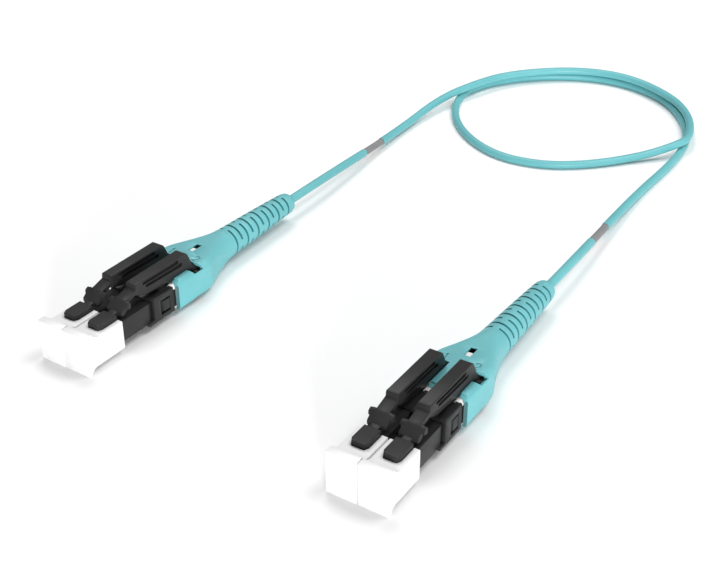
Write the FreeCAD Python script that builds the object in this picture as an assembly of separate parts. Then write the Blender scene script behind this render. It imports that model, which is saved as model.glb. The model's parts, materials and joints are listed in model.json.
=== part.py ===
"""Duplex LC uniboot fibre patch cord.

Two identical duplex connectors on one round two-fibre cable with a full turn in it.
Millimetres, +Z up, the cord lies on z = 0.  Each connector is drawn in a frame of its
own (y = 0 at the face of the dust caps, +Y rearwards along the cable, x = 0 between the
two plugs, the plug axes at height AXIS_Z) and is then set down with its own placement.
"""
import FreeCAD, Part
import math
import os

V = FreeCAD.Vector

# ---------------------------------------------------------------- driving dimensions
PITCH = 6.25            # between the two plug axes
AXIS_Z = 4.33           # plug and cable axis above the surface
# where the two connectors lie: position of the local origin and turn about Z
NEAR_AT = (33.85, -38.35, 0.0)
FAR_AT = (33.85 - 67.99, -38.35 + 3.20, -1.012)

# dust cap
CAP_HALF_FRONT = 3.05   # half width of the flared front
CAP_HALF_BODY = 2.93
CAP_FRONT_H = 8.66
CAP_LEN = 10.15
CAP_BOTTOM_Z = 1.17
CAP_TOP_Z = 7.20
CAP_TRAVEL = 12.0
# plug body
PLUG_HALF = 2.26        # 4.52 mm square body
PLUG_Y0 = 4.90
PLUG_Y1 = 18.30
SPIGOT_HALF = 2.00
SPIGOT_Y1 = 24.40
PAD_HALF = 1.67
PAD_NOSE = 1.24         # half width of the pad's front, between its cut corners
PAD_CORNER = 0.84       # length of the cut corners along Y
PAD_Y0, PAD_Y1 = 5.18, 10.02
PAD_TOP = 8.25
PAD_GAP = 0.09          # round the pad, in the cap's roof
PLUG_BORE_R = 1.30
PLUG_CHAMBER_R = 1.70
CHAMBER_Y0 = 9.60
# latch
HINGE_Y, HINGE_Z, HINGE_R = 10.12, 7.62, 0.36
HINGE_GAP = 0.03
NECK_HALF = 0.88
LATCH_TOP = 11.65
ARM_HALF = 1.27
WING_HALF = 2.20
GROOVE_DEPTH = 0.42
# recesses in the trigger's sides: front end (y, z, radius), rear end (y, z, radius)
GROOVES = [(18.6, 10.90, 0.34, 28.5, 10.78, 0.46), (19.4, 10.02, 0.34, 29.5, 9.74, 0.46)]
# rear body of the plug (collar)
COLLAR_HALF_W = 2.64
COLLAR_Y0, COLLAR_Y1 = 19.40, 25.30
COLLAR_Z0, COLLAR_Z1 = 1.48, 7.06
TAIL_HALF_W, TAIL_HALF_H, TAIL_Y1 = 2.50, 1.95, 26.75   # reaches into the inner housing
# white inner housing
HOUSE_Y0 = 25.30
HOUSE_GAP = 0.13        # all round, inside the boot
KEY_HALF, KEY_Y0, KEY_Y1, KEY_H = 0.80, 37.00, 39.25, 3.22   # raised key under the boot's window
WELL_HALF, WELL_Y1 = 0.95, 42.20
# boot
BOOT_Y0 = 25.80
BOOT_TOP_Y0 = 27.20     # the top edge of the mouth is raked back
BOOT_HALF_W = 6.32
BOOT_HALF_H = 3.57
BOOT_CAV_W = 5.80
BOOT_CAV_H = 2.95
BOOT_TAPER0, BOOT_TAPER1 = 34.6, 48.3
# half width of the drawn-in part at stations along Y
BOOT_PLAN = [(34.6, 6.32), (36.2, 6.20), (37.6, 5.86), (39.0, 5.33), (40.4, 4.83), (41.8, 4.42), (43.2, 4.08),
             (44.6, 3.80), (46.0, 3.58), (47.2, 3.43), (48.3, 3.32)]
# outer radius of the round strain relief at stations along Y
RELIEF = [(48.3, 3.32), (50.0, 3.22), (53.5, 3.10), (57.0, 3.00), (62.0, 2.82), (66.0, 2.65), (69.0, 2.50), (71.5, 2.38),
          (72.6, 2.20), (73.2, 1.85), (73.5, 1.20)]
BOOT_END = 73.5
CABLE_BORE_R = 1.10
BOOT_TRAVEL = 2.0
LATCH_SWING = 2.5       # degrees, at the end of the boot's travel
WINDOW_HALF, WINDOW_Y0, WINDOW_Y1 = 0.66, 37.60, 40.60
CHANNEL_Y1 = 34.12      # rear end of the channels that the triggers sink into
LEDGE_X = 5.40          # inner edge of the ledge beside each wing
MARK_X, MARK_Y, MARK_H, MARK_W = 3.20, 34.65, 1.85, 1.00
MARK_STROKE, MARK_DEPTH = 0.16, 0.18
SLOT_W = 0.55
SLOT_DEPTH = 1.00
SLOT_PITCH = 3.94
SLOT_A0, SLOT_A_N = 49.3, 6
SLOT_B0, SLOT_B_N = 51.2, 5
# inside
FERRULE_R = 0.625
FERRULE_Y0, FERRULE_Y1 = 1.00, 11.40
FIBRE_R = 0.45
FIBRE_Y0 = 12.30
SPRING_R, SPRING_WIRE = 1.28, 0.16
SPRING_Y0, SPRING_Y1 = 12.35, 19.60
CRIMP_Y0, CRIMP_Y1 = 46.0, 53.5
CRIMP_R = 1.70
JACKET_Y0 = 48.0
# cable
CABLE_R = 1.00
BAND_R = 0.87
BAND_SEAT_R = 0.74

os.makedirs("parts", exist_ok=True)


# ---------------------------------------------------------------- helpers
def box(x0, x1, y0, y1, z0, z1):
    return Part.makeBox(x1 - x0, y1 - y0, z1 - z0, V(x0, y0, z0))


def prism_x(points, x0, x1):
    """Side profile given as (y, z) points, extruded from x0 to x1."""
    w = Part.makePolygon([V(x0, y, z) for y, z in points] + [V(x0, *points[0])])
    return Part.Face(w).extrude(V(x1 - x0, 0, 0))


def prism_z(points, z0, z1):
    """Plan profile given as (x, y) points, extruded from z0 to z1."""
    w = Part.makePolygon([V(x, y, z0) for x, y in points] + [V(points[0][0], points[0][1], z0)])
    return Part.Face(w).extrude(V(0, 0, z1 - z0))


def prism_y(points, y0, y1):
    """Cross-section given as (x, z) points, extruded from y0 to y1."""
    w = Part.makePolygon([V(x, y0, z) for x, z in points] + [V(points[0][0], y0, points[0][1])])
    return Part.Face(w).extrude(V(0, y1 - y0, 0))


def cyl_y(r, y0, y1, x=0.0, z=AXIS_Z):
    return Part.makeCylinder(r, y1 - y0, V(x, y0, z), V(0, 1, 0))


def cyl_x(r, x0, x1, y, z):
    return Part.makeCylinder(r, x1 - x0, V(x0, y, z), V(1, 0, 0))


def profile_x(edges, x0, x1):
    """Side profile of (kind, points) steps in (y, z): lines and three-point arcs."""
    es = []
    for kind, pts in edges:
        p = [V(x0, y, z) for y, z in pts]
        if kind == "l":
            es += [Part.LineSegment(a, b).toShape() for a, b in zip(p, p[1:])]
        else:
            es.append(Part.Arc(p[0], p[1], p[2]).toShape())
    return Part.Face(Part.Wire(es)).extrude(V(x1 - x0, 0, 0))


def rounded_section(y, hw, hh, r, zc=AXIS_Z):
    """Closed wire of a rounded rectangle across the axis at y."""
    r = min(r, hw - 0.03, hh - 0.03)
    c = r * (1 - math.sqrt(0.5))
    e = []

    def p(x, z):
        return V(x, y, zc + z)

    e.append(Part.LineSegment(p(-hw + r, hh), p(hw - r, hh)))
    e.append(Part.Arc(p(hw - r, hh), p(hw - c, hh - c), p(hw, hh - r)))
    e.append(Part.LineSegment(p(hw, hh - r), p(hw, -hh + r)))
    e.append(Part.Arc(p(hw, -hh + r), p(hw - c, -hh + c), p(hw - r, -hh)))
    e.append(Part.LineSegment(p(hw - r, -hh), p(-hw + r, -hh)))
    e.append(Part.Arc(p(-hw + r, -hh), p(-hw + c, -hh + c), p(-hw, -hh + r)))
    e.append(Part.LineSegment(p(-hw, -hh + r), p(-hw, hh - r)))
    e.append(Part.Arc(p(-hw, hh - r), p(-hw + c, hh - c), p(-hw + r, hh)))
    return Part.Wire([s.toShape() for s in e])


def smooth(t):
    t = max(0.0, min(1.0, t))
    return t * t * (3 - 2 * t)


def revolve_y(points, x=0.0, z=AXIS_Z):
    """(y, r) outline turned about the axis through (x, z)."""
    w = Part.makePolygon([V(x + r, y, z) for y, r in points] + [V(x + points[0][1], points[0][0], z)])
    return Part.Face(w).revolve(V(x, 0, z), V(0, 1, 0), 360)


def sector_ring(y, w, r_in, r_out, a0, a1, x=0.0, z=AXIS_Z):
    """Part of a ring across the axis, from angle a0 to a1 in degrees from the top."""
    f = Part.makePolygon([V(x, y - w / 2, z + r_in), V(x, y + w / 2, z + r_in),
                          V(x, y + w / 2, z + r_out), V(x, y - w / 2, z + r_out),
                          V(x, y - w / 2, z + r_in)])
    s = Part.Face(f).revolve(V(x, 0, z), V(0, 1, 0), a1 - a0)
    s.rotate(V(x, 0, z), V(0, 1, 0), a0)
    return s


def one(shape):
    """The single solid of a finished piece."""
    s = shape.removeSplitter() if hasattr(shape, "removeSplitter") else shape
    solids = s.Solids
    if len(solids) != 1:
        raise RuntimeError("expected one solid, found %d: %s" % (len(solids), [round(q.Volume, 3) for q in solids]))
    return solids[0]


# ---------------------------------------------------------------- dust cap
def pad_prism(xc, grow, y1, z0, z1):
    """Plan of the latch root with its cut front corners, drawn out all round by grow."""
    n, w, y0 = PAD_NOSE + grow * 0.7, PAD_HALF + grow, PAD_Y0 - grow
    yc = PAD_Y0 + PAD_CORNER - grow * 0.4
    return prism_z([(xc - w, yc), (xc - n, y0), (xc + n, y0), (xc + w, yc), (xc + w, y1), (xc - w, y1)], z0, z1)


def dust_cap(xc):
    hf, hb = CAP_HALF_FRONT, CAP_HALF_BODY
    top, bot = CAP_TOP_Z, CAP_BOTTOM_Z
    flare = [
        ("l", [(0.0, 0.0), (0.80, 0.0)]),
        ("a", [(0.80, 0.0), (1.42, 0.78), (2.70, bot)]),
        ("l", [(2.70, bot), (CAP_LEN, bot), (CAP_LEN, top), (4.35, top)]),
        ("a", [(4.35, top), (2.85, 7.62), (1.90, CAP_FRONT_H - 0.06)]),
        ("l", [(1.90, CAP_FRONT_H - 0.06), (1.55, CAP_FRONT_H), (0.0, CAP_FRONT_H), (0.0, 0.0)]),
    ]
    solid = profile_x(flare, xc - hf, xc + hf)
    # behind the flare the sides draw in with a hollow curve
    y1, y2 = 0.9, 3.4
    for s in (-1, 1):
        a, b = xc + s * hf, xc + s * hb
        m = (a + (b - a) * 0.75, y1 + (y2 - y1) * 0.35)
        es = [Part.Arc(V(a, y1, -1), V(m[0], m[1], -1), V(b, y2, -1)).toShape(),
              Part.LineSegment(V(b, y2, -1), V(b, CAP_LEN + 1, -1)).toShape(),
              Part.LineSegment(V(b, CAP_LEN + 1, -1), V(b + s * 1.0, CAP_LEN + 1, -1)).toShape(),
              Part.LineSegment(V(b + s * 1.0, CAP_LEN + 1, -1), V(b + s * 1.0, y1, -1)).toShape(),
              Part.LineSegment(V(b + s * 1.0, y1, -1), V(a, y1, -1)).toShape()]
        solid = solid.cut(Part.Face(Part.Wire(es)).extrude(V(0, 0, 11)))
    # room for the plug, the ferrule and, open to the rear, the latch root
    g = PLUG_HALF + 0.04
    solid = solid.cut(box(xc - g, xc + g, PLUG_Y0 - 0.20, CAP_LEN + 1, AXIS_Z - g, AXIS_Z + g))
    solid = solid.cut(cyl_y(1.35, 0.70, PLUG_Y0, xc))
    return one(solid.cut(pad_prism(xc, PAD_GAP, CAP_LEN + 1, AXIS_Z + 1.0, CAP_TOP_Z + 1)))


# ---------------------------------------------------------------- plug body
def plug_body(xc):
    h = PLUG_HALF
    body = box(xc - h, xc + h, PLUG_Y0, PLUG_Y1, AXIS_Z - h, AXIS_Z + h)
    body = body.makeChamfer(0.28, [e for e in body.Edges
                                   if abs(e.BoundBox.YMax - PLUG_Y0) < 1e-6])
    # the lower rear corners are cut away beside the collar's lip
    spig = box(xc - SPIGOT_HALF, xc + SPIGOT_HALF, PLUG_Y1 - 0.5, SPIGOT_Y1,
               AXIS_Z - SPIGOT_HALF, AXIS_Z + SPIGOT_HALF)
    body = body.fuse(spig)
    body = body.cut(box(xc - h - 1, xc + h + 1, 17.00, PLUG_Y1 + 0.5, AXIS_Z - h - 1, AXIS_Z - SPIGOT_HALF))
    # catches that stand in the collar's side windows, ramped at the front
    for s in (-1, 1):
        pts = [(xc + s * (SPIGOT_HALF - 0.4), 21.90), (xc + s * (SPIGOT_HALF + 0.30), 21.90),
               (xc + s * (COLLAR_HALF_W - 0.06), 22.25), (xc + s * (COLLAR_HALF_W - 0.06), 24.08),
               (xc + s * (SPIGOT_HALF - 0.4), 24.08)]
        body = body.fuse(prism_z(pts, AXIS_Z - 1.36, AXIS_Z + 0.98))
    # latch root with chamfered front corners
    pad = pad_prism(xc, 0.0, PAD_Y1, AXIS_Z + h - 0.3, PAD_TOP)
    top_edges = [e for e in pad.Edges if e.BoundBox.ZMin > PAD_TOP - 1e-6]
    pad = pad.makeFillet(0.16, top_edges)
    body = body.fuse(pad)
    body = body.cut(cyl_x(HINGE_R + HINGE_GAP, xc - NECK_HALF - 0.10, xc + NECK_HALF + 0.10, HINGE_Y, HINGE_Z))
    # the bore that the ferrule stands in, and the spring chamber behind its shoulder
    body = body.cut(cyl_y(PLUG_BORE_R, PLUG_Y0 - 1, CHAMBER_Y0 + 0.5, xc))
    body = body.cut(cyl_y(PLUG_CHAMBER_R, CHAMBER_Y0, SPIGOT_Y1 + 1, xc))
    return one(body)


# ---------------------------------------------------------------- latch
def latch(xc):
    hy, hz, hr = HINGE_Y, HINGE_Z, HINGE_R
    # root roll and neck
    neck = prism_x([(hy, hz - 0.34), (11.60, hz - 0.12), (11.60, hz + 0.62), (hy, hz + 0.34)], xc - NECK_HALF, xc + NECK_HALF)
    sol = neck.fuse(cyl_x(hr, xc - NECK_HALF, xc + NECK_HALF, hy, hz))
    # locking lug: a sloped block, wider at its rear shoulders
    lug = prism_x([(11.15, 7.40), (11.15, 8.22), (11.75, 8.72), (12.55, 9.42), (13.30, 9.72), (13.38, 8.55),
                   (12.6, 7.95), (11.9, 7.40)], xc - 1.92, xc + 1.92)
    sol = sol.fuse(lug)
    nub = prism_x([(12.35, 8.50), (12.35, 9.22), (12.62, 9.46), (13.20, 9.68), (13.34, 9.55), (13.38, 8.60), (13.2, 8.35)],
                  xc - 2.40, xc + 2.40)
    sol = sol.fuse(nub)
    # arm, trigger, rear slope and foot in one outline
    outline = [(12.80, 8.30), (12.80, 9.55), (13.30, 9.72), (16.15, 10.48), (16.22, 11.28), (16.36, 11.54), (16.66, LATCH_TOP),
               (31.00, LATCH_TOP), (31.35, 11.52), (31.75, 11.10), (32.25, 10.05), (33.00, 8.30), (34.95, 6.34),
               (35.00, 6.20), (35.00, 6.02), (34.85, 5.92), (33.20, 5.92), (32.55, 6.20), (31.80, 7.00), (31.10, 7.46),
               (30.40, 7.55), (24.00, 7.80), (21.40, 8.00), (19.00, 8.22), (17.50, 8.70), (16.45, 9.34), (16.05, 9.48), (13.30, 8.75)]
    arm = prism_x(outline, xc - ARM_HALF, xc + ARM_HALF)
    # ease the long top edges of the trigger
    tops = []
    for e in arm.Edges:
        b = e.BoundBox
        if b.ZMin > 11.49 and b.YMax - b.YMin > 10 and b.XMax - b.XMin < 1e-6:
            tops.append(e)
    arm = arm.makeFillet(0.22, tops)
    # two long recesses with rounded ends down each side of the trigger, wider to the rear
    for s in (-1, 1):
        x0, x1 = sorted((xc + s * (ARM_HALF - GROOVE_DEPTH), xc + s * (ARM_HALF + 0.5)))
        for ya, za, ra, yb, zb, rb in GROOVES:
            ln = math.hypot(yb - ya, zb - za)
            g = prism_x([(0, -ra), (ln, -rb), (ln, rb), (0, ra)], x0, x1)
            g = g.fuse(cyl_x(ra, x0, x1, 0, 0)).fuse(cyl_x(rb, x0, x1, ln, 0))
            g.rotate(V(0, 0, 0), V(1, 0, 0), math.degrees(math.atan2(zb - za, yb - ya)))
            g.translate(V(0, ya, za))
            arm = arm.cut(g)
    # the trigger is cored out from below
    core = prism_x([(20.2, 7.0), (20.2, 10.2), (21.0, 10.75), (29.2, 10.75), (30.0, 10.2), (30.0, 7.0)], xc - 0.55, xc + 0.55)
    arm = arm.cut(core)
    sol = sol.fuse(arm)
    # wings at the foot, one each side, that the boot's ramps push down
    wing = prism_x([(32.95, 5.92), (32.80, 6.06), (32.80, 6.32), (33.05, 6.60), (34.30, 6.60), (34.62, 6.34), (34.62, 5.92)],
                   xc - WING_HALF, xc + WING_HALF)
    sol = sol.fuse(wing)
    return one(sol)


# ---------------------------------------------------------------- rear body (collar)
def rear_body(xc):
    w = COLLAR_HALF_W
    prof = [(COLLAR_Y0, AXIS_Z - 1.95), (COLLAR_Y0, COLLAR_Z1 - 0.25), (COLLAR_Y0 + 0.25, COLLAR_Z1), (COLLAR_Y1, COLLAR_Z1),
            (COLLAR_Y1, COLLAR_Z0), (17.85, COLLAR_Z0), (17.60, COLLAR_Z0 + 0.22), (17.60, AXIS_Z - 2.08), (18.75, AXIS_Z - 2.08)]
    s = prism_x(prof, xc - w, xc + w)
    # long edges eased
    long_edges = [e for e in s.Edges if abs(e.BoundBox.XMax - e.BoundBox.XMin) < 1e-6
                  and e.BoundBox.YMax - e.BoundBox.YMin > 5.0]
    s = s.makeFillet(0.22, long_edges)
    # socket for the plug body's spigot
    g = SPIGOT_HALF + 0.03
    s = s.cut(box(xc - g, xc + g, 17.0, SPIGOT_Y1 + 0.02, AXIS_Z - g, AXIS_Z + g))
    # side windows for the catches
    s = s.cut(box(xc - w - 1, xc + w + 1, 21.36, 24.10, AXIS_Z - 1.84, AXIS_Z + 1.46))
    # groove along the top that the trigger sinks into when it is pressed
    s = s.cut(box(xc - 1.44, xc + 1.44, 17.0, COLLAR_Y1 + 1, AXIS_Z + 2.28, COLLAR_Z1 + 1))
    # spring seat: a tube that reaches into the plug's chamber, and its bore
    seat = cyl_y(1.55, SPRING_Y1, 24.9, xc)
    s = s.fuse(seat)
    # tail that stands in the inner housing
    s = s.fuse(box(xc - TAIL_HALF_W, xc + TAIL_HALF_W, COLLAR_Y1 - 0.3, TAIL_Y1, AXIS_Z - TAIL_HALF_H, AXIS_Z + TAIL_HALF_H))
    s = s.cut(cyl_y(0.60, SPRING_Y1 - 1, TAIL_Y1 + 1, xc))
    return one(s)


# ---------------------------------------------------------------- ferrule train
def ferrule(xc):
    f = cyl_y(FERRULE_R, FERRULE_Y0, FERRULE_Y1, xc)
    f = f.makeChamfer(0.12, [e for e in f.Edges if abs(e.BoundBox.YMax - FERRULE_Y0) < 1e-6])
    return one(f.cut(cyl_y(0.0635, FERRULE_Y0 - 1, FERRULE_Y1 + 1, xc)))


def flange(xc):
    hexa = prism_y([(xc + 1.62 * math.cos(math.radians(a)), AXIS_Z + 1.62 * math.sin(math.radians(a)))
                    for a in range(0, 360, 60)], CHAMBER_Y0, 11.40)
    f = hexa.fuse(revolve_y([(11.3, 0.0), (11.3, 1.50), (SPRING_Y0, 1.50), (SPRING_Y0, 0.90), (17.2, 0.90), (17.2, 0.0)], xc))
    f = f.cut(cyl_y(FERRULE_R, CHAMBER_Y0 - 1, FERRULE_Y1, xc))
    f = f.cut(cyl_y(FIBRE_R + 0.06, FERRULE_Y1 - 0.2, 18.0, xc))
    return one(f)


def spring(xc):
    turns = 6.0
    length = SPRING_Y1 - SPRING_Y0 - 2 * SPRING_WIRE - 0.04
    hx = Part.makeHelix(length / turns, length, SPRING_R)
    mid = V(SPRING_R, 0, 0)
    circ = Part.Wire([Part.makeCircle(SPRING_WIRE, mid, V(0, 1, length / turns / (2 * math.pi * SPRING_R)))])
    s = Part.Wire(hx.Edges).makePipeShell([circ], True, True)
    s.rotate(V(0, 0, 0), V(1, 0, 0), -90)
    s.translate(V(xc, SPRING_Y0 + SPRING_WIRE + 0.02, AXIS_Z))
    return one(s)


# ---------------------------------------------------------------- white inner housing
def cavity(shrink, y0):
    """Inside of the boot's shell from y0 to its throat, drawn in all round by shrink."""
    ya, yb = BOOT_TAPER0 - 0.4, 46.6
    w, h, r = BOOT_CAV_W - shrink, BOOT_CAV_H - shrink, 0.85
    out = Part.Face(rounded_section(y0, w, h, r)).extrude(V(0, ya - y0, 0))
    secs = []
    for i in range(13):
        t = i / 12
        secs.append(rounded_section(ya + (yb - ya) * t, w + (1.9 - BOOT_CAV_W) * smooth(t ** 0.95),
                                    h + (1.9 - BOOT_CAV_H) * smooth(t ** 1.6),
                                    r + (1.9 - shrink - 0.85) * smooth(t ** 1.1)))
    return out.fuse(Part.makeLoft(secs, True, False))


def inner_housing(upper):
    sgn = 1 if upper else -1
    s = cavity(HOUSE_GAP, HOUSE_Y0)
    z0, z1 = (AXIS_Z, AXIS_Z + 4) if upper else (AXIS_Z - 4, AXIS_Z)
    s = s.common(box(-8, 8, HOUSE_Y0, 43.6, z0, z1))
    # the latch feet, wings and boot ramps work in bays either side of a middle rib
    for sx in (-1, 1):
        bay = box(min(sx * 0.55, sx * 7), max(sx * 0.55, sx * 7), 27.25, 37.6, AXIS_Z + 0.75, AXIS_Z + 4)
        bay = bay.fuse(box(min(sx * 0.55, sx * 7), max(sx * 0.55, sx * 7), 32.0, 37.6, AXIS_Z + 0.40, AXIS_Z + 1.0))
        lead = box(min(sx * 2.20, sx * 4.02), max(sx * 2.20, sx * 4.02), 24, 27.4, AXIS_Z + 1.55, AXIS_Z + 4)
        lead = lead.fuse(box(min(sx * 1.78, sx * 4.47), max(sx * 1.78, sx * 4.47), 24, 27.4, AXIS_Z + 2.40, AXIS_Z + 4))
        if not upper:
            bay.mirror(V(0, 0, AXIS_Z), V(0, 0, 1))
            bay = bay.mirror(V(0, 0, AXIS_Z), V(0, 0, 1))
            lead = lead.mirror(V(0, 0, AXIS_Z), V(0, 0, 1))
        s = s.cut(bay).cut(lead)
    # recess for the tails of the two rear bodies; lips above it reach forward to the collars
    for sx in (-1, 1):
        s = s.cut(box(min(sx * 0.52, sx * 7), max(sx * 0.52, sx * 7), 24, TAIL_Y1 + 0.10, AXIS_Z - TAIL_HALF_H - 0.10,
                      AXIS_Z + TAIL_HALF_H + 0.10))
    # key that stands up under the front half of the boot's window, and the well behind it
    s = s.fuse(box(-KEY_HALF, KEY_HALF, KEY_Y0, KEY_Y1, AXIS_Z + min(sgn * 1.5, sgn * KEY_H), AXIS_Z + max(sgn * 1.5, sgn * KEY_H)))
    s = s.cut(box(-WELL_HALF, WELL_HALF, KEY_Y1, WELL_Y1, AXIS_Z + sgn * 2.0 - 1.3, AXIS_Z + sgn * 2.0 + 1.3))
    # fibre ways: straight from each plug, then in to the cable
    s = s.cut(fibre_way(FIBRE_R + 0.12))
    # seat for the crimp tube's front
    s = s.cut(cyl_y(1.05, 41.8, 44.5))
    return one(s)


def fibre_path(sx, y_start, y_end):
    x0, x1 = sx * PITCH / 2, sx * 0.455
    ya, yb = 28.0, 41.6
    # two equal tangent arcs make the S
    pts = [V(x0, y_start, AXIS_Z), V(x0, ya, AXIS_Z), V(x1, yb, AXIS_Z), V(x1, y_end, AXIS_Z)]
    return rounded_wire(pts, [None, 9.0, 9.0, None])


def rounded_wire(pts, radii):
    """Straight runs joined by tangent arcs of the stated radii."""
    edges = []
    cur = pts[0]
    for i in range(1, len(pts) - 1):
        p, a, b = pts[i], pts[i - 1], pts[i + 1]
        u, w = (a - p).normalize(), (b - p).normalize()
        turn = math.pi - u.getAngle(w)
        t = radii[i] * math.tan(turn / 2)
        s, e = p + u * t, p + w * t
        bis = (u + w).normalize()
        c = p + bis * (radii[i] / math.cos(turn / 2))
        m = c - bis * radii[i]
        if s.distanceToPoint(cur) > 1e-6:
            edges.append(Part.LineSegment(cur, s).toShape())
        edges.append(Part.Arc(s, m, e).toShape())
        cur = e
    edges.append(Part.LineSegment(cur, pts[-1]).toShape())
    return Part.Wire(edges)


def tube_on(wire, r):
    e = wire.Edges[0]
    p = e.valueAt(e.FirstParameter)
    d = e.tangentAt(e.FirstParameter)
    c = Part.Wire([Part.makeCircle(r, p, d)])
    return wire.makePipeShell([c], True, False)


def fibre_way(r):
    out = None
    for sx in (-1, 1):
        t = tube_on(fibre_path(sx, 24.0, 46.0), r)
        out = t if out is None else out.fuse(t)
    return out


def buffered_fibre(sx):
    t = tube_on(fibre_path(sx, FIBRE_Y0, JACKET_Y0), FIBRE_R)
    return one(t)


def crimp_tube():
    s = cyl_y(CRIMP_R, CRIMP_Y0, CRIMP_Y1)
    s = s.cut(cyl_y(CABLE_R + 0.02, JACKET_Y0 - 0.02, CRIMP_Y1 + 1))
    s = s.cut(cyl_y(CABLE_R - 0.05, CRIMP_Y0 - 1, JACKET_Y0 + 0.5))
    # eyelet that the front of the tube is pressed on, held between the housing shells
    eye = revolve_y([(41.85, 0.96), (41.85, 1.05), (43.62, 1.05), (43.62, 1.35), (46.0, 1.35), (46.0, 0.96)])
    s = s.fuse(eye)
    # hexagonal crimp flats
    for a in range(0, 360, 60):
        b = box(-3, 3, CRIMP_Y0 + 1.2, CRIMP_Y1 - 0.9, AXIS_Z + CRIMP_R - 0.16, AXIS_Z + CRIMP_R + 2)
        b.rotate(V(0, 0, AXIS_Z), V(0, 1, 0), a)
        s = s.cut(b)
    return one(s)


# ---------------------------------------------------------------- boot
def boot():
    # wide shell: constant, then drawn smoothly into the round strain relief
    shell = Part.Face(rounded_section(BOOT_Y0, BOOT_HALF_W, BOOT_HALF_H, 1.45)).extrude(V(0, BOOT_TAPER0 - BOOT_Y0, 0))
    secs = []
    for y, hw in BOOT_PLAN:
        t = (y - BOOT_TAPER0) / (BOOT_TAPER1 - BOOT_TAPER0)
        hh = BOOT_HALF_H + (RELIEF[0][1] - BOOT_HALF_H) * smooth(t ** 1.5)
        r = 1.45 + (RELIEF[0][1] - 1.45) * smooth(t ** 1.35)
        secs.append(rounded_section(y, hw, hh, r))
    taper = Part.makeLoft(secs, True, False)
    # strain relief with a rounded end collar
    rel = [(BOOT_TAPER1 - 0.3, 0.0), (BOOT_TAPER1 - 0.3, RELIEF[0][1])] + RELIEF + [(BOOT_END, 0.0)]
    rel = revolve_y(rel)
    out = shell.fuse(taper).fuse(rel)
    cav = cavity(0.0, BOOT_Y0 - 3)
    cav = cav.fuse(cyl_y(1.86, 46.2, 57.0)).fuse(cyl_y(CABLE_BORE_R, 56.5, BOOT_END + 1))
    out = out.cut(cav)
    # raked mouth: the top and bottom edges stand back from the sides
    d = BOOT_TOP_Y0 - BOOT_Y0
    for s in (-1, 1):
        pts = [(BOOT_Y0 - 1, AXIS_Z + s * 2.6), (BOOT_Y0 + 0.02, AXIS_Z + s * 2.6), (BOOT_Y0 + 0.35 * d, AXIS_Z + s * 2.95),
               (BOOT_Y0 + 0.92 * d, AXIS_Z + s * 3.3), (BOOT_Y0 + d, AXIS_Z + s * 3.65), (BOOT_Y0 + d, AXIS_Z + s * 5), (BOOT_Y0 - 1, AXIS_Z + s * 5)]
        out = out.cut(prism_x(pts, -8, 8))
    for sz in (1, -1):
        za, zb = (AXIS_Z + 2.2, AXIS_Z + 5) if sz > 0 else (AXIS_Z - 5, AXIS_Z - 2.2)
        for sx in (-1, 1):
            xc = sx * PITCH / 2
            # channel over each plug for the trigger, and the pocket beside its end for the wing
            out = out.cut(box(xc - 1.45, xc + 1.45, BOOT_Y0 - 1, CHANNEL_Y1, za, zb))
            # thickened side wall that carries the pocket's ledge
            x0, x1 = sorted((sx * LEDGE_X, sx * (BOOT_CAV_W + 0.10)))
            z0, z1 = sorted((AXIS_Z + sz * 2.00, AXIS_Z + sz * (BOOT_CAV_H + 0.05)))
            out = out.fuse(box(x0, x1, 30.2, 34.40, z0, z1))
    # window in the middle, top and bottom, and the track that the housing's key runs in below it
    out = out.cut(box(-WINDOW_HALF, WINDOW_HALF, WINDOW_Y0, WINDOW_Y1, AXIS_Z - 5, AXIS_Z + 5))
    out = out.cut(box(-KEY_HALF - 0.10, KEY_HALF + 0.10, KEY_Y0 - BOOT_TRAVEL - 0.10, 41.4, AXIS_Z - KEY_H - 0.05, AXIS_Z + KEY_H + 0.05))
    # plain position numbers beside the window, one for each plug
    top = AXIS_Z + BOOT_HALF_H
    w, h = MARK_W / 2, MARK_H
    for x0, strokes in ((-MARK_X, [(-0.22, 0.78 * h, 0.0, h), (0.0, h, 0.0, 0.0), (-0.24, 0.0, 0.24, 0.0)]),
                        (MARK_X, [(-w, 0.80 * h, -0.6 * w, h), (-0.6 * w, h, 0.6 * w, h), (0.6 * w, h, w, 0.82 * h), (w, 0.82 * h, w, 0.62 * h),
                                  (w, 0.62 * h, -w, 0.0), (-w, 0.0, w, 0.0)])):
        for xa, ya, xb, yb in strokes:
            ln = math.hypot(xb - xa, yb - ya)
            g = box(-MARK_STROKE / 2, ln + MARK_STROKE / 2, -MARK_STROKE / 2, MARK_STROKE / 2, -MARK_DEPTH, 0.4)
            g.rotate(V(0, 0, 0), V(0, 0, 1), math.degrees(math.atan2(yb - ya, xb - xa)))
            g.translate(V(x0 + xa, MARK_Y + ya, top))
            out = out.cut(g)
    # ramps under the outer edge of each top channel, just ahead of the wings
    wy, wz = 32.80, 6.46
    drop = (wy - HINGE_Y) * math.radians(LATCH_SWING) / BOOT_TRAVEL
    for sx in (-1, 1):
        for sz in (1, -1):
            def m(y, z):
                return (y, z if sz > 0 else 2 * AXIS_Z - z)
            pts = [m(31.70, 7.35), m(31.70, wz + drop * (31.70 - wy) + 0.17), m(29.9, wz + drop * (29.9 - wy) + 0.17), m(29.1, 5.2),
                   m(28.6, 7.35)]
            x0, x1 = sorted((sx * (PITCH / 2 + 1.56), sx * (BOOT_CAV_W + 0.15)))
            out = out.fuse(prism_x(pts, x0, x1))
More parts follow.
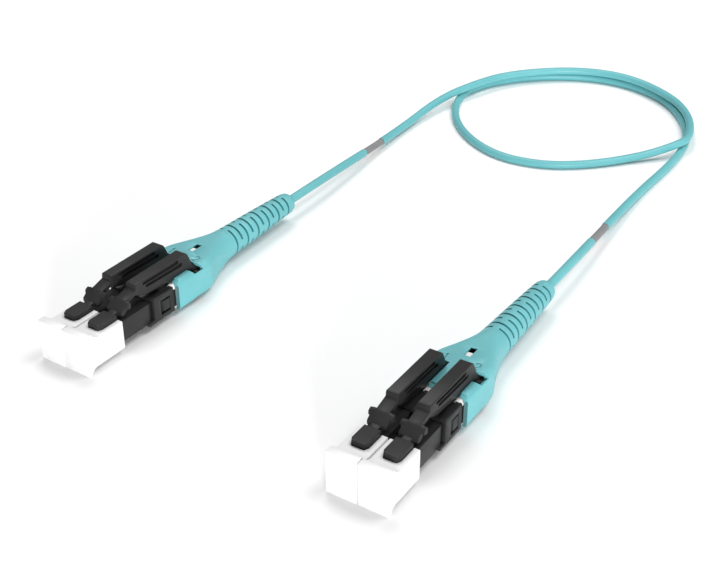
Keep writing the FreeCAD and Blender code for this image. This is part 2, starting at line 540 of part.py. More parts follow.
    # pockets, open to the top and over the shoulder, with a ledge that slopes inwards
    for sx in (-1, 1):
        for sz in (1, -1):
            xc = sx * PITCH / 2
            plan = [(xc, 30.9), (sx * 4.7, 30.9), (sx * 5.65, 31.2), (sx * 6.7, 32.1), (sx * 6.7, CHANNEL_Y1 + 0.2), (xc, CHANNEL_Y1)]
            sec = [(xc, AXIS_Z + sz * 2.2), (sx * LEDGE_X, AXIS_Z + sz * 2.2), (sx * 6.7, AXIS_Z + sz * 3.15), (sx * 6.7, AXIS_Z + sz * 5),
                   (xc, AXIS_Z + sz * 5)]
            out = out.cut(prism_z(plan, AXIS_Z - 6, AXIS_Z + 6).common(prism_y(sec, 29.0, 36.0)))
    # the mouth's side edges are bevelled
    for sx in (-1, 1):
        out = out.cut(prism_z([(sx * 5.78, BOOT_Y0 - 0.02), (sx * 6.60, BOOT_Y0 + 0.80), (sx * 6.60, BOOT_Y0 - 1), (sx * 5.78, BOOT_Y0 - 1)],
                              AXIS_Z - 5, AXIS_Z + 5))
    # staggered slots of the strain relief
    def r_at(y):
        for (ya, ra), (yb, rb) in zip(RELIEF, RELIEF[1:]):
            if y <= yb:
                return ra + (rb - ra) * (y - ya) / (yb - ya)
        return RELIEF[-1][1]
    cuts = []
    for k in range(SLOT_A_N):
        y = SLOT_A0 + SLOT_PITCH * k
        cuts += [(y, 12, 168), (y, 192, 348)]
    for k in range(SLOT_B_N):
        y = SLOT_B0 + SLOT_PITCH * k
        cuts += [(y, -75, 75), (y, 105, 255)]
    tool = None
    for y, a0, a1 in cuts:
        r = r_at(y)
        c = sector_ring(y, SLOT_W, r - SLOT_DEPTH, r + 0.6, a0, a1)
        tool = c if tool is None else tool.fuse(c)
    out = out.cut(tool)
    return one(out)


# ---------------------------------------------------------------- cable
# Route of the cable's centre line, from the crimp in the near connector to the crimp in
# the far one, given in the near connector's own frame.
ROUTE = [
    (0.00, JACKET_Y0, AXIS_Z),
    (0.00, 87.0, AXIS_Z),
    (-2.3, 127.4, CABLE_R),
    (-1.1, 147.7, CABLE_R),
    (-2.1, 163.5, CABLE_R),
    (-9.1, 177.7, CABLE_R),
    (-20.2, 188.8, CABLE_R),
    (-36.5, 190.8, CABLE_R),
    (-53.3, 182.7, CABLE_R),
    (-62.9, 169.6, CABLE_R),
    (-68.1, 157.3, CABLE_R),
    (-58.6, 140.5, CABLE_R),
    (-42.9, 129.4, CABLE_R),
    (-28.8, 130.0, CABLE_R),
    (-18.1, 137.2, CABLE_R),
    (-9.0, 148.0, 3.00),
    (-4.0, 153.8, 6.00),
    (-1.0, 161.2, 6.00),
    (-5.3, 175.0, 4.60),
    (-14.7, 185.7, 4.00),
    (-31.1, 192.4, 3.80),
    (-45.4, 187.6, 3.80),
    (-59.6, 175.6, 4.40),
    (-64.8, 163.5, 6.00),
    (-68.5, 149.3, 6.00),
    (-69.0, 129.0, CABLE_R),
]
BANDS = {"near": (100.2, 109.1), "far": (112.6, 121.4)}


def to_row(p, at=None):
    return V(p[0] + NEAR_AT[0], p[1] + NEAR_AT[1], p[2])


def far_point(y, z=AXIS_Z):
    """A point on the far connector's axis, in the near connector's frame."""
    a = math.radians(FAR_AT[2])
    dx, dy = FAR_AT[0] - NEAR_AT[0], FAR_AT[1] - NEAR_AT[1]
    return (dx - y * math.sin(a), dy + y * math.cos(a), z)


def cable_route():
    return ROUTE + [far_point(87.0), far_point(JACKET_Y0)]


def cable_wire(report=True):
    pts = [to_row(p) for p in cable_route()]
    runs = [a.distanceToPoint(b) for a, b in zip(pts, pts[1:])]
    radii, total = [None], 0.0
    for i in range(1, len(pts) - 1):
        u, w = (pts[i - 1] - pts[i]).normalize(), (pts[i + 1] - pts[i]).normalize()
        turn = math.pi - u.getAngle(w)
        radii.append(0.45 * min(runs[i - 1], runs[i]) / math.tan(turn / 2))
        if report:
            print("cable point %2d run %.1f / %.1f turn %5.1f deg radius %7.1f mm (%.1f diameters)" % (
                i, runs[i - 1], runs[i], math.degrees(turn), radii[-1], radii[-1] / (2 * CABLE_R)))
    radii.append(None)
    return rounded_wire(pts, radii)


def cable():
    wire = cable_wire()
    tube = tube_on(wire, CABLE_R)
    length = wire.Length
    print("cable length %.1f mm, tube volume %.1f mm3, section x length %.1f mm3" % (
        length, tube.Volume, math.pi * CABLE_R ** 2 * length))
    return tube


def band_frame(i, y0, y1):
    """Ends of a marker band on run i of the route (straight there)."""
    pts = [to_row(p) for p in cable_route()]
    a, b = pts[i], pts[i + 1]
    t0 = (y0 + NEAR_AT[1] - a.y) / (b.y - a.y)
    t1 = (y1 + NEAR_AT[1] - a.y) / (b.y - a.y)
    return a + (b - a) * t0, a + (b - a) * t1


def band_run(which):
    pts = cable_route()
    y0, y1 = BANDS[which]
    order = range(len(pts) - 1) if which == "near" else range(len(pts) - 2, -1, -1)
    for i in order:
        lo, hi = sorted((pts[i][1], pts[i + 1][1]))
        if lo < y0 and hi > y1:
            return band_frame(i, y0, y1)
    raise RuntimeError("no straight run for the band")


# ---------------------------------------------------------------- build
def place(shape, at):
    s = shape.copy()
    s.Placement = FreeCAD.Placement(V(at[0], at[1], 0), FreeCAD.Rotation(V(0, 0, 1), at[2])).multiply(s.Placement)
    return s


def connector():
    p = PITCH / 2
    out = {}
    for tag, sx in (("a", -1), ("b", 1)):
        xc = sx * p
        out["dust_cap_" + tag] = dust_cap(xc)
        out["plug_body_" + tag] = plug_body(xc)
        out["latch_" + tag] = latch(xc)
        out["rear_body_" + tag] = rear_body(xc)
        out["ferrule_" + tag] = ferrule(xc)
        out["ferrule_flange_" + tag] = flange(xc)
        out["ferrule_spring_" + tag] = spring(xc)
        out["buffered_fibre_" + tag] = buffered_fibre(sx)
    out["inner_housing_top"] = inner_housing(True)
    out["inner_housing_bottom"] = inner_housing(False)
    out["crimp_tube"] = crimp_tube()
    out["boot"] = boot()
    return out


def main():
    parts = {}
    conn = connector()
    for side, at in (("near", NEAR_AT), ("far", FAR_AT)):
        for name, s in conn.items():
            parts[side + "_" + name] = place(s, at)
    jacket = cable()
    for which in ("near", "far"):
        a, b = band_run(which)
        d = b - a
        ln = d.Length
        seat = Part.makeCylinder(CABLE_R + 0.2, ln, a, d).cut(Part.makeCylinder(BAND_SEAT_R, ln, a, d))
        jacket = jacket.cut(seat)
        parts[which + "_marker_band"] = one(Part.makeCylinder(BAND_R, ln, a, d).cut(Part.makeCylinder(BAND_SEAT_R, ln, a, d)))
    parts["cable_jacket"] = one(jacket)
    lo, hi = [1e9] * 3, [-1e9] * 3
    for name, s in parts.items():
        if not s.isValid():
            print("INVALID", name)
        s.exportStep("parts/%s.step" % name)
        b = s.BoundBox
        if name != "cable_jacket" and not name.endswith("marker_band"):
            for k, (p, q) in enumerate(((b.XMin, b.XMax), (b.YMin, b.YMax), (b.ZMin, b.ZMax))):
                lo[k], hi[k] = min(lo[k], p), max(hi[k], q)
    print("pieces:", len(parts))
    print("box without the cable: x %.2f..%.2f  y %.2f..%.2f  z %.2f..%.2f, centre %.3f, %.3f" % (
        lo[0], hi[0], lo[1], hi[1], lo[2], hi[2], (lo[0] + hi[0]) / 2, (lo[1] + hi[1]) / 2))


main()
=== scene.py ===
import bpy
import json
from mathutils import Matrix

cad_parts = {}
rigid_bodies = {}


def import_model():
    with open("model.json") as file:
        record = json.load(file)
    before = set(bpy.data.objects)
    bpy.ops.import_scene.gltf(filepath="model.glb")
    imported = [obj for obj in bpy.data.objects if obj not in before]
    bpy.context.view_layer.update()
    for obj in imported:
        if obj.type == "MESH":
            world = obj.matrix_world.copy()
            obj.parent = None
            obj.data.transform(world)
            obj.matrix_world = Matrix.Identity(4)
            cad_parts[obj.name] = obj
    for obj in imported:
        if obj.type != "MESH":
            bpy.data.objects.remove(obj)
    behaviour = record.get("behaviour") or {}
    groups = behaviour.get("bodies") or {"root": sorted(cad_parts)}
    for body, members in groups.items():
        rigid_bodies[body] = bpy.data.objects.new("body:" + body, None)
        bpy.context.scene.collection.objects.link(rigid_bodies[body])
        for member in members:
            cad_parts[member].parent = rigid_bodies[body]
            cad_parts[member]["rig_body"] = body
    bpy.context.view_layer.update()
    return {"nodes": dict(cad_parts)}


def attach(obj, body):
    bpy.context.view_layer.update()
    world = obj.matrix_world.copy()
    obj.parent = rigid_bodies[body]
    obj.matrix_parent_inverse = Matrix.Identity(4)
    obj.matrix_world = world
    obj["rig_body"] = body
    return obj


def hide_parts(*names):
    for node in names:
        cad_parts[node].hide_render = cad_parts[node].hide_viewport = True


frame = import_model()
# Looks of the duplex LC uniboot patch cord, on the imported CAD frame.  Metres; MM turns millimetres into metres.

import bpy
import bmesh
import json
import math
from mathutils import Matrix, Vector

MM = 0.001
NODES = frame["nodes"]
scene = bpy.context.scene
NEAR_AT = Vector((33.85, -38.35, 0.0))
FAR_AT = Vector((33.85 - 67.99, -38.35 + 3.20, 0.0))
FAR_TURN = math.radians(-1.012)
AXIS_Z = 4.33


# ------------------------------------------------------------------ node helpers
def new_material(name):
    m = bpy.data.materials.new(name)
    m.use_nodes = True
    nt = m.node_tree
    nt.nodes.clear()
    out = nt.nodes.new("ShaderNodeOutputMaterial")
    out.location = (900, 0)
    b = nt.nodes.new("ShaderNodeBsdfPrincipled")
    b.location = (600, 0)
    nt.links.new(b.outputs["BSDF"], out.inputs["Surface"])
    return m, nt, b


def coords(nt, scale=(1, 1, 1)):
    tc = nt.nodes.new("ShaderNodeTexCoord")
    mp = nt.nodes.new("ShaderNodeMapping")
    mp.inputs["Scale"].default_value = [1000.0 * s for s in scale]
    nt.links.new(tc.outputs["Object"], mp.inputs["Vector"])
    return mp.outputs["Vector"]


def noise(nt, vec, scale, detail=3.0, rough=0.55, distort=0.0):
    n = nt.nodes.new("ShaderNodeTexNoise")
    n.inputs["Scale"].default_value = scale
    n.inputs["Detail"].default_value = detail
    n.inputs["Roughness"].default_value = rough
    n.inputs["Distortion"].default_value = distort
    nt.links.new(vec, n.inputs["Vector"])
    return n.outputs["Fac"]


def ramp(nt, fac, stops):
    r = nt.nodes.new("ShaderNodeValToRGB")
    e = r.color_ramp.elements
    e[0].position, e[1].position = stops[0][0], stops[-1][0]
    e[0].color, e[1].color = stops[0][1], stops[-1][1]
    for p, c in stops[1:-1]:
        k = e.new(p)
        k.color = c
    nt.links.new(fac, r.inputs["Fac"])
    return r.outputs["Color"]


def mix(nt, a, b, fac, mode="MIX"):
    m = nt.nodes.new("ShaderNodeMix")
    m.data_type = "RGBA"
    m.blend_type = mode
    for k, v in (("Factor", fac), ("A", a), ("B", b)):
        sock = [s for s in m.inputs if s.name == k and (s.type == "VALUE" if k == "Factor" else s.type == "RGBA")][0]
        if hasattr(v, "is_output"):
            nt.links.new(v, sock)
        else:
            sock.default_value = v
    return [o for o in m.outputs if o.type == "RGBA"][0]


def math_node(nt, op, a, b=0.0, c=None):
    m = nt.nodes.new("ShaderNodeMath")
    m.operation = op
    for i, v in enumerate((a, b) if c is None else (a, b, c)):
        if hasattr(v, "is_output"):
            nt.links.new(v, m.inputs[i])
        else:
            m.inputs[i].default_value = v
    return m.outputs[0]


def remap(nt, v, lo, hi, a, b):
    m = nt.nodes.new("ShaderNodeMapRange")
    for k, x in (("From Min", lo), ("From Max", hi), ("To Min", a), ("To Max", b)):
        m.inputs[k].default_value = x
    nt.links.new(v, m.inputs["Value"])
    return m.outputs["Result"]


def bump(nt, bsdf, height, strength, distance_mm, normal=None):
    b = nt.nodes.new("ShaderNodeBump")
    b.inputs["Strength"].default_value = strength
    b.inputs["Distance"].default_value = distance_mm * MM
    nt.links.new(height, b.inputs["Height"])
    if normal is not None:
        nt.links.new(normal, b.inputs["Normal"])
    nt.links.new(b.outputs["Normal"], bsdf.inputs["Normal"])
    return b.outputs["Normal"]


def rgb(r, g, b):
    return (r, g, b, 1.0)


def plastic(name, lo, hi, rough=(0.4, 0.55), grain=9.0, grain_depth=0.006, mottle=0.35, spec=0.5, sss=0.0, sss_radius=(1, 1, 1), sss_scale=0.5,
            coat=0.0, flow=None):
    """Moulded plastic: faint colour drift, satin patches and a fine spark-eroded grain."""
    m, nt, b = new_material(name)
    v = coords(nt)
    slow = noise(nt, v, mottle, 4.0, 0.6)
    fine = noise(nt, v, grain, 2.0, 0.5)
    mid = noise(nt, v, 1.7, 3.0, 0.55, 0.4)
    col = ramp(nt, math_node(nt, "ADD", math_node(nt, "MULTIPLY", slow, 0.7), math_node(nt, "MULTIPLY", fine, 0.3)),
               [(0.30, lo), (0.70, hi)])
    nt.links.new(col, b.inputs["Base Color"])
    nt.links.new(remap(nt, mid, 0.25, 0.75, rough[0], rough[1]), b.inputs["Roughness"])
    b.inputs["Specular IOR Level"].default_value = spec
    if sss:
        b.inputs["Subsurface Weight"].default_value = sss
        b.inputs["Subsurface Radius"].default_value = sss_radius
        b.inputs["Subsurface Scale"].default_value = sss_scale * MM
    if coat:
        b.inputs["Coat Weight"].default_value = coat
        b.inputs["Coat Roughness"].default_value = 0.3
    h = math_node(nt, "ADD", fine, math_node(nt, "MULTIPLY", mid, 0.35))
    if flow is not None:
        h = math_node(nt, "ADD", h, math_node(nt, "MULTIPLY", noise(nt, coords(nt, flow), 1.0, 2.0), 0.8))
    bump(nt, b, h, 0.55, grain_depth)
    return m


# ------------------------------------------------------------------ materials
CAP = plastic("cap_white", rgb(0.80, 0.80, 0.80), rgb(0.83, 0.83, 0.83), rough=(0.34, 0.44), grain=5.0, grain_depth=0.002, sss=0.1,
              sss_radius=(1.0, 0.95, 0.9), sss_scale=0.3)
BLACK = plastic("black_moulding", rgb(0.021, 0.021, 0.0212), rgb(0.030, 0.0298, 0.0296), rough=(0.32, 0.40), grain=8.0, grain_depth=0.005,
                mottle=0.25, spec=0.14)
# Darker copy of the black moulding: painted shade for the latch grooves, rear-body windows, plug catches and the
# housing well, where little light gets in.
BLACK_PAINTED_SHADE = plastic("black_painted_shade", rgb(0.006, 0.006, 0.006), rgb(0.009, 0.009, 0.009), rough=(0.55, 0.65), grain=8.0, grain_depth=0.004, spec=0.3)
AQUA = plastic("aqua_boot", rgb(0.128, 0.420, 0.448), rgb(0.147, 0.456, 0.486), rough=(0.40, 0.50), grain=6.0, grain_depth=0.005, mottle=0.2,
               spec=0.35)
# Darker copy of the boot aqua: painted shade on the boot's front rim.
RIM_PAINTED_SHADE = plastic("aqua_rim_painted_shade", rgb(0.030, 0.105, 0.113), rgb(0.038, 0.120, 0.129), rough=(0.42, 0.54), grain=6.0, grain_depth=0.005, mottle=0.2)
# Darker copy of the boot aqua: painted shade inside the strain-relief slots and the engraved marks.
AQUA_PAINTED_SHADE = plastic("aqua_painted_shade", rgb(0.046, 0.205, 0.228), rgb(0.058, 0.240, 0.266), rough=(0.5, 0.6), grain=6.0, grain_depth=0.005, mottle=0.2,
               spec=0.3)
JACKET = plastic("aqua_jacket", rgb(0.118, 0.405, 0.432), rgb(0.136, 0.442, 0.470), rough=(0.38, 0.50), grain=3.0, grain_depth=0.004,
                 mottle=0.12, spec=0.4)
WHITE = plastic("white_housing", rgb(0.78, 0.78, 0.77), rgb(0.86, 0.86, 0.85), rough=(0.4, 0.5), grain=6.0, grain_depth=0.004, sss=0.1)
BAND = plastic("grey_band", rgb(0.185, 0.185, 0.19), rgb(0.225, 0.225, 0.23), rough=(0.5, 0.62), grain=7.0, grain_depth=0.006, mottle=0.5)
FIBRE = plastic("fibre_buffer", rgb(0.78, 0.52, 0.10), rgb(0.86, 0.60, 0.16), rough=(0.3, 0.4), grain=3.0, grain_depth=0.003)


def ceramic():
    m, nt, b = new_material("zirconia")
    v = coords(nt)
    n = noise(nt, v, 6.0, 3.0)
    nt.links.new(ramp(nt, n, [(0.3, rgb(0.86, 0.85, 0.80)), (0.7, rgb(0.92, 0.91, 0.87))]), b.inputs["Base Color"])
    nt.links.new(remap(nt, n, 0.3, 0.7, 0.08, 0.16), b.inputs["Roughness"])
    b.inputs["Coat Weight"].default_value = 0.4
    bump(nt, b, n, 0.2, 0.001)
    return m


def metal(name, lo, hi, rough, stretch):
    m, nt, b = new_material(name)
    v = coords(nt, stretch)
    n = noise(nt, v, 4.0, 4.0, 0.6)
    nt.links.new(ramp(nt, n, [(0.3, lo), (0.7, hi)]), b.inputs["Base Color"])
    nt.links.new(remap(nt, n, 0.3, 0.7, rough[0], rough[1]), b.inputs["Roughness"])
    b.inputs["Metallic"].default_value = 1.0
    bump(nt, b, n, 0.4, 0.004)
    return m


ZIRCONIA = ceramic()
STEEL = metal("steel", rgb(0.56, 0.56, 0.57), rgb(0.68, 0.68, 0.69), (0.22, 0.34), (1.0, 0.15, 1.0))
CRIMP = metal("crimp_metal", rgb(0.60, 0.56, 0.48), rgb(0.72, 0.68, 0.60), (0.28, 0.4), (1.0, 0.2, 1.0))


# ------------------------------------------------------------------ dressing a CAD node
def tidy(bm, weld=0.0015):
    bmesh.ops.remove_doubles(bm, verts=bm.verts, dist=weld * MM)
    bmesh.ops.dissolve_degenerate(bm, edges=bm.edges, dist=weld * MM)


def local(node, p):
    """A point of the row, in metres, in the frame of the connector it belongs to, in millimetres."""
    q = Vector(p) / MM
    if node.startswith("near"):
        return q - NEAR_AT
    d = q - FAR_AT
    c, n = math.cos(FAR_TURN), math.sin(FAR_TURN)
    return Vector((d.x * c + d.y * n, -d.x * n + d.y * c, d.z))


def set_down(node, q):
    """The reverse of local()."""
    if node.startswith("near"):
        return (q + NEAR_AT) * MM
    c, n = math.cos(FAR_TURN), math.sin(FAR_TURN)
    return (FAR_AT + Vector((q.x * c - q.y * n, q.x * n + q.y * c, q.z))) * MM


def zone(ob, node, material, test):
    """Give the faces whose middle passes the test, in the connector's frame, a second material."""
    me = ob.data
    me.materials.append(material)
    k = len(me.materials) - 1
    mw = ob.matrix_world
    for f in me.polygons:
        if test(local(node, mw @ f.center)):
            f.material_index = k


def dress(node, material, width=0.07, segments=2, angle=32.0, plain=False, zones=(), shape=None):
    """A finished copy of a CAD node: same shape, with its sharp edges eased by a small radius."""
    src = NODES[node]
    body = src["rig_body"]
    me = src.data.copy()
    bm = bmesh.new()
    bm.from_mesh(me)
    tidy(bm)
    if not plain:
        bmesh.ops.dissolve_limit(bm, angle_limit=math.radians(1.0), use_dissolve_boundaries=False, verts=bm.verts, edges=bm.edges,
                                 delimit={"NORMAL"})
    bm.to_mesh(me)
    bm.free()
    ob = bpy.data.objects.new(node + ".look", me)
    scene.collection.objects.link(ob)
    me.materials.clear()
    me.materials.append(material)
    if not plain:
        bv = ob.modifiers.new("ease", "BEVEL")
        bv.width = width * MM
        bv.segments = segments
        bv.limit_method = "ANGLE"
        bv.angle_limit = math.radians(angle)
        bv.use_clamp_overlap = True
        bv.harden_normals = False
        bv.miter_outer = "MITER_ARC"
        apply_modifiers(ob)
    if shape:
        for v in ob.data.vertices:
            v.co = set_down(node, shape(local(node, v.co)))
    smooth_by_angle(ob, 40.0)
    for m, test in zones:
        zone(ob, node, m, test)
    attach(ob, body)
    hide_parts(node)
    return ob


def apply_modifiers(ob):
    dg = bpy.context.evaluated_depsgraph_get()
    dg.update()
    me = bpy.data.meshes.new_from_object(ob.evaluated_get(dg), preserve_all_data_layers=True, depsgraph=dg)
    ob.modifiers.clear()
    old = ob.data
    ob.data = me
    bpy.data.meshes.remove(old)


def smooth_by_angle(ob, degrees):
    me = ob.data
    me.shade_smooth()
    bm = bmesh.new()
    bm.from_mesh(me)
    lim = math.radians(degrees)
    for e in bm.edges:
        e.smooth = not (len(e.link_faces) == 2 and e.calc_face_angle(0.0) > lim)
    bm.to_mesh(me)
    bm.free()


def paint(node, material):
    o = NODES[node]
    o.data.materials.clear()
    o.data.materials.append(material)


RELIEF = [(48.3, 3.32), (50.0, 3.22), (53.5, 3.10), (57.0, 3.00), (62.0, 2.82), (66.0, 2.65), (69.0, 2.50), (71.5, 2.38), (72.6, 2.20),
          (73.2, 1.85), (73.5, 1.20)]


def relief_r(y):
    for (ya, ra), (yb, rb) in zip(RELIEF, RELIEF[1:]):
        if ya <= y <= yb:
            return ra + (rb - ra) * (y - ya) / (yb - ya)
    return 0.0


def blunt_end(q):
    """The relief's last ring, past the last slot, drawn in by 1.2 mm."""
    if q.y > 70.0:
        q.y = 70.0 + (q.y - 70.0) * 0.65
    return q


# Faces inside the strain-relief slots; they get the darker aqua painted shade.
def in_slot(p):
    return 48.6 < p.y < 71.0 and math.hypot(p.x, p.z - AXIS_Z) < relief_r(p.y) - 0.10


# Recessed faces of the engraved polarity marks; they get the darker aqua painted shade.
def in_mark(p):
    return 34.3 < p.y < 37.0 and 2.3 < abs(p.x) < 4.2 and 3.30 < abs(p.z - AXIS_Z) < 3.555


# The boot's front rim; it gets the darker aqua painted shade.
def on_rim(p):
    return p.y < 26.40 and abs(p.x) > 5.76


# Inside of the hole in the white inner housing under the boot window; it gets the black painted shade, standing in for
# the dark depth of the hole.
def in_well(p):
    return 39.2 < p.y < 42.3 and abs(p.x) < 0.98


# Faces inside the latch's side grooves; they get the black painted shade.
def groove_test(xc):
    return lambda p: 18.1 < p.y < 30.2 and 9.15 < p.z < 11.30 and 0.80 < abs(p.x - xc) < 1.21


# Walls of the rear body's side window; they get the black painted shade.
def window_test(xc):
    return lambda p: 21.2 < p.y < 24.3 and 2.0 < abs(p.x - xc) < 2.60 and abs(p.z - AXIS_Z) < 2.1


# The plug body's catch and the spigot sides seen through the collar window; they get the black painted shade.
def catch_test(xc):
    return lambda p: (21.2 < p.y < 24.3 and 1.9 < abs(p.x - xc) < 2.54) or (18.6 < p.y < 24.6 and 1.94 < abs(p.x - xc) < 2.08)


# The zones below paint shade: black painted shade in grooves, windows, catches and the housing well; darker aqua
# painted shade in the relief slots, engraved marks and on the boot's front rim.
for side in ("near", "far"):
    for t, xc in (("a", -3.125), ("b", 3.125)):
        dress(side + "_dust_cap_" + t, CAP, 0.10, 3)
        dress(side + "_plug_body_" + t, BLACK, 0.07, zones=[(BLACK_PAINTED_SHADE, catch_test(xc))])
        dress(side + "_latch_" + t, BLACK, 0.08, zones=[(BLACK_PAINTED_SHADE, groove_test(xc))])
        dress(side + "_rear_body_" + t, BLACK, 0.05, zones=[(BLACK_PAINTED_SHADE, window_test(xc))])
        for n, m in (("ferrule_", ZIRCONIA), ("ferrule_flange_", STEEL), ("ferrule_spring_", STEEL), ("buffered_fibre_", FIBRE)):
            paint(side + "_" + n + t, m)
    dress(side + "_boot", AQUA, 0.06, zones=[(AQUA_PAINTED_SHADE, in_slot), (AQUA_PAINTED_SHADE, in_mark), (RIM_PAINTED_SHADE, on_rim)],
          shape=blunt_end)
    dress(side + "_inner_housing_top", WHITE, 0.06, zones=[(BLACK_PAINTED_SHADE, in_well)])
    dress(side + "_inner_housing_bottom", WHITE, 0.06, zones=[(BLACK_PAINTED_SHADE, in_well)])
    paint(side + "_crimp_tube", CRIMP)


# ------------------------------------------------------------------ cable
ROUTE = [
    (0.00, 48.0, 4.33), (0.00, 67.0, 4.33), (0.00, 87.0, 4.33), (-2.31, 127.37, 1.0), (-1.12, 147.74, 1.0), (-2.10, 163.52, 1.0),
    (-8.90, 177.85, 1.0), (-19.96, 188.92, 1.0), (-37.23, 192.30, 1.0), (-54.07, 184.01, 1.0), (-64.87, 170.81, 1.0),
    (-67.27, 157.59, 1.0), (-58.58, 140.51, 1.0), (-42.94, 129.44, 1.0), (-28.77, 130.00, 1.0), (-18.14, 137.24, 1.0),
    (-8.98, 148.04, 1.25), (-3.01, 155.09, 2.90), (-1.03, 161.20, 3.12), (-5.95, 174.66, 3.05), (-15.16, 185.06, 3.05),
    (-31.07, 192.23, 3.05), (-46.26, 188.53, 3.05), (-59.92, 175.86, 3.05), (-64.78, 163.54, 3.22), (-68.50, 149.31, 2.75),
    (-69.01, 129.05, 1.0),
]


def far_point(y, z=AXIS_Z):
    d = FAR_AT - NEAR_AT
    return (d.x - y * math.sin(FAR_TURN), d.y + y * math.cos(FAR_TURN), z)


def route_line():
    pts = ROUTE + [far_point(87.0), far_point(67.0), far_point(48.0)]
    cu = bpy.data.curves.new("route", "CURVE")
    cu.dimensions = "3D"
    sp = cu.splines.new("NURBS")
    sp.points.add(len(pts) - 1)
    for p, q in zip(sp.points, pts):
        p.co = ((q[0] + NEAR_AT.x) * MM, (q[1] + NEAR_AT.y) * MM, q[2] * MM, 1.0)
    sp.order_u = 3
    sp.use_endpoint_u = True
    sp.resolution_u = 24
    ob = bpy.data.objects.new("route", cu)
    scene.collection.objects.link(ob)
    dg = bpy.context.evaluated_depsgraph_get()
    dg.update()
    me = bpy.data.meshes.new_from_object(ob.evaluated_get(dg))
    line = [v.co.copy() for v in me.vertices]
    order = {}
    for e in me.edges:
        a, b = e.vertices
        order.setdefault(a, []).append(b)
        order.setdefault(b, []).append(a)
    ends = [k for k, v in order.items() if len(v) == 1]
    start = min(ends, key=lambda k: (line[k] - Vector(((pts[0][0] + NEAR_AT.x) * MM, (pts[0][1] + NEAR_AT.y) * MM, pts[0][2] * MM))).length)
    path, prev, cur = [line[start]], None, start
    while True:
        nxt = [k for k in order[cur] if k != prev]
        if not nxt:
            break
        prev, cur = cur, nxt[0]
        if (line[cur] - path[-1]).length > 1e-7:
            path.append(line[cur])
    bpy.data.objects.remove(ob)
    bpy.data.curves.remove(cu)
    bpy.data.meshes.remove(me)
    return path


def at_lengths(path, wanted):
    """Points and tangents of the path at the wanted distances along it."""
    acc = [0.0]
    for a, b in zip(path, path[1:]):
        acc.append(acc[-1] + (b - a).length)
    out, k = [], 0
    for s in wanted:
        s = min(max(s, 0.0), acc[-1])
        while k < len(acc) - 2 and acc[k + 1] < s:
            k += 1
        f = (s - acc[k]) / (acc[k + 1] - acc[k])
        p = path[k].lerp(path[k + 1], f)
        i0, i1 = max(k - 1, 0), min(k + 2, len(path) - 1)
        out.append((p, (path[i1] - path[i0]).normalized()))
    return out, acc[-1]


def tube(name, path, stations, sides=28):
    """stations: (distance along the path, radius in mm), in order; ends closed."""
    frames, _ = at_lengths(path, [s for s, r in stations])
    bm = bmesh.new()
    up = Vector((0, 0, 1))
    rings = []
    for (p, t), (s, r) in zip(frames, stations):
        side = t.cross(up).normalized()
        top = side.cross(t).normalized()
        ring = []
        for i in range(sides):
            a = 2 * math.pi * i / sides
            ring.append(bm.verts.new(p + (side * math.cos(a) + top * math.sin(a)) * r * MM))
        rings.append(ring)
    for ra, rb in zip(rings, rings[1:]):
        for i in range(sides):
            j = (i + 1) % sides
            bm.faces.new((ra[i], ra[j], rb[j], rb[i]))
    bm.faces.new(list(reversed(rings[0])))
    bm.faces.new(rings[-1])
    bmesh.ops.recalc_face_normals(bm, faces=bm.faces)
    me = bpy.data.meshes.new(name)
    bm.to_mesh(me)
    bm.free()
    ob = bpy.data.objects.new(name, me)
    scene.collection.objects.link(ob)
    smooth_by_angle(ob, 50.0)
    return ob


path = route_line()
_, total = at_lengths(path, [0.0])


def length_at_y(y, from_end=False):
    """Distance along the path where it first reaches the row's y (mm), from the near or the far end."""
    seq = list(reversed(path)) if from_end else path
    s = 0.0
    for a, b in zip(seq, seq[1:]):
        if a.y <= y * MM <= b.y:
            return (total - s - (b - a).length * (y * MM - a.y) / (b.y - a.y)) if from_end else s + (b - a).length * (y * MM - a.y) / (b.y - a.y)
        s += (b - a).length
    raise ValueError("no such y")


bands = []
for which, y0, y1 in (("near", 96.6, 105.9), ("far", 109.8, 119.2)):
    s0 = length_at_y(y0 + NEAR_AT.y, which == "far")
    s1 = length_at_y(y1 + NEAR_AT.y, which == "far")
    bands.append((which, min(s0, s1), max(s0, s1)))

NECK, FULL, SLEEVE = 0.78, 1.0, 0.875
stations, s = [], 0.0
step = 0.8 * MM
marks = sorted((a, b) for _, a, b in bands)
while s < total:
    if not any(a - 0.25 * MM <= s <= b + 0.25 * MM for a, b in marks):
        stations.append((s, FULL))
    s += step
stations.append((total, FULL))
for a, b in marks:
    e = 0.05 * MM
    stations += [(a - 0.12 * MM, FULL), (a - e, FULL - 0.03), (a, FULL - 0.09), (a + 0.01 * MM, NECK), (b - 0.01 * MM, NECK), (b, FULL - 0.09),
                 (b + e, FULL - 0.03), (b + 0.12 * MM, FULL)]
stations.sort()
jacket = tube("cable", path, stations)
jacket.data.materials.append(JACKET)
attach(jacket, "cord")
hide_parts("cable_jacket")
for which, a, b in bands:
    st = [(a + 0.01 * MM, NECK - 0.03), (a + 0.02 * MM, SLEEVE - 0.05), (a + 0.07 * MM, SLEEVE)]
    n = 12
    st += [(a + (b - a) * (i / n), SLEEVE) for i in range(1, n)]
    st += [(b - 0.07 * MM, SLEEVE), (b - 0.02 * MM, SLEEVE - 0.05), (b - 0.01 * MM, NECK - 0.03)]
    ob = tube(which + "_band", path, st)
    ob.data.materials.append(BAND)
    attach(ob, "cord")
    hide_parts(which + "_marker_band")

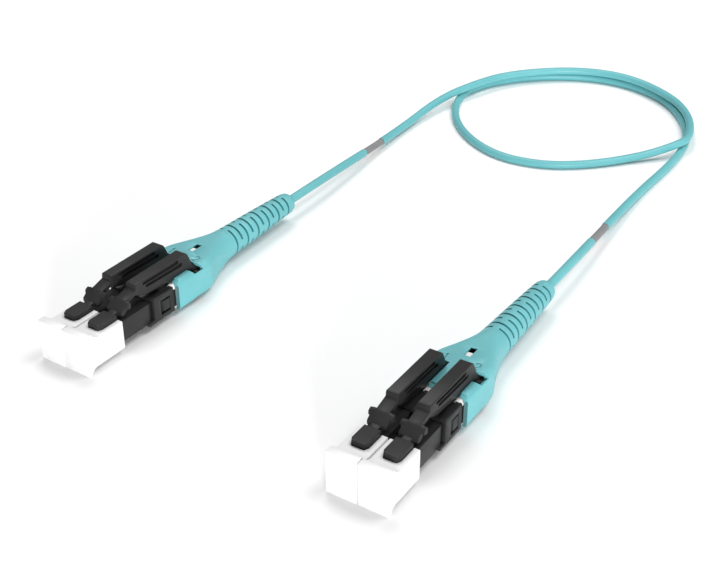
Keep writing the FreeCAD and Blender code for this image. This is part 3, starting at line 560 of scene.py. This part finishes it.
# ------------------------------------------------------------------ stage, light and camera
floor_me = bpy.data.meshes.new("floor")
bm = bmesh.new()
R = 3.0
for x, y in ((-R, -R), (R, -R), (R, R), (-R, R)):
    bm.verts.new((x, y, 0.0))
bm.faces.new(bm.verts)
bm.to_mesh(floor_me)
bm.free()
floor = bpy.data.objects.new("floor", floor_me)
scene.collection.objects.link(floor)
m, nt, b = new_material("floor_paper")
v = coords(nt)
nt.links.new(ramp(nt, noise(nt, v, 0.02, 2.0), [(0.3, rgb(0.955, 0.955, 0.955)), (0.7, rgb(0.965, 0.965, 0.965))]), b.inputs["Base Color"])
b.inputs["Roughness"].default_value = 0.95
b.inputs["Specular IOR Level"].default_value = 0.1
floor_me.materials.append(m)

world = bpy.data.worlds.new("studio")
scene.world = world
world.use_nodes = True
world.node_tree.nodes["Background"].inputs["Color"].default_value = (1.0, 1.0, 1.0, 1.0)
world.node_tree.nodes["Background"].inputs["Strength"].default_value = 0.30


def area(name, loc, target, size, power, color=(1, 1, 1)):
    li = bpy.data.lights.new(name, "AREA")
    li.shape = "DISK"
    li.size = size
    li.energy = power
    li.color = color
    ob = bpy.data.objects.new(name, li)
    ob.location = loc
    ob.rotation_mode = "QUATERNION"
    ob.rotation_quaternion = (Vector(target) - Vector(loc)).to_track_quat("-Z", "Y")
    scene.collection.objects.link(ob)
    return ob


area("top_back_left", (-0.27, 0.30, 0.70), (0.0, 0.03, 0.0), 0.45, 2.9)
area("top_back_right", (0.29, 0.27, 0.71), (0.0, 0.03, 0.0), 0.45, 2.9)
area("front_low", (0.80, -0.88, 0.15), (0.0, 0.0, 0.0), 0.26, 14.0)

cam_data = bpy.data.cameras.new("camera")
cam = bpy.data.objects.new("camera", cam_data)
scene.collection.objects.link(cam)
scene.camera = cam
cam_data.sensor_width = 36.0
cam_data.lens = 62.47
cam_data.clip_start, cam_data.clip_end = 0.01, 20.0
heading, elevation = math.radians(32.38), math.radians(31.53)
fwd = Vector((-math.sin(heading) * math.cos(elevation), math.cos(heading) * math.cos(elevation), -math.sin(elevation)))
right = Vector((math.cos(heading), math.sin(heading), 0.0))
upv = right.cross(fwd)
rot = Matrix((right, upv, -fwd)).transposed()
cam.matrix_world = Matrix.Translation(Vector((84.184 + NEAR_AT.x, -131.893 + NEAR_AT.y, 138.001)) * MM) @ rot.to_4x4()
scene.view_settings.view_transform = "Standard"
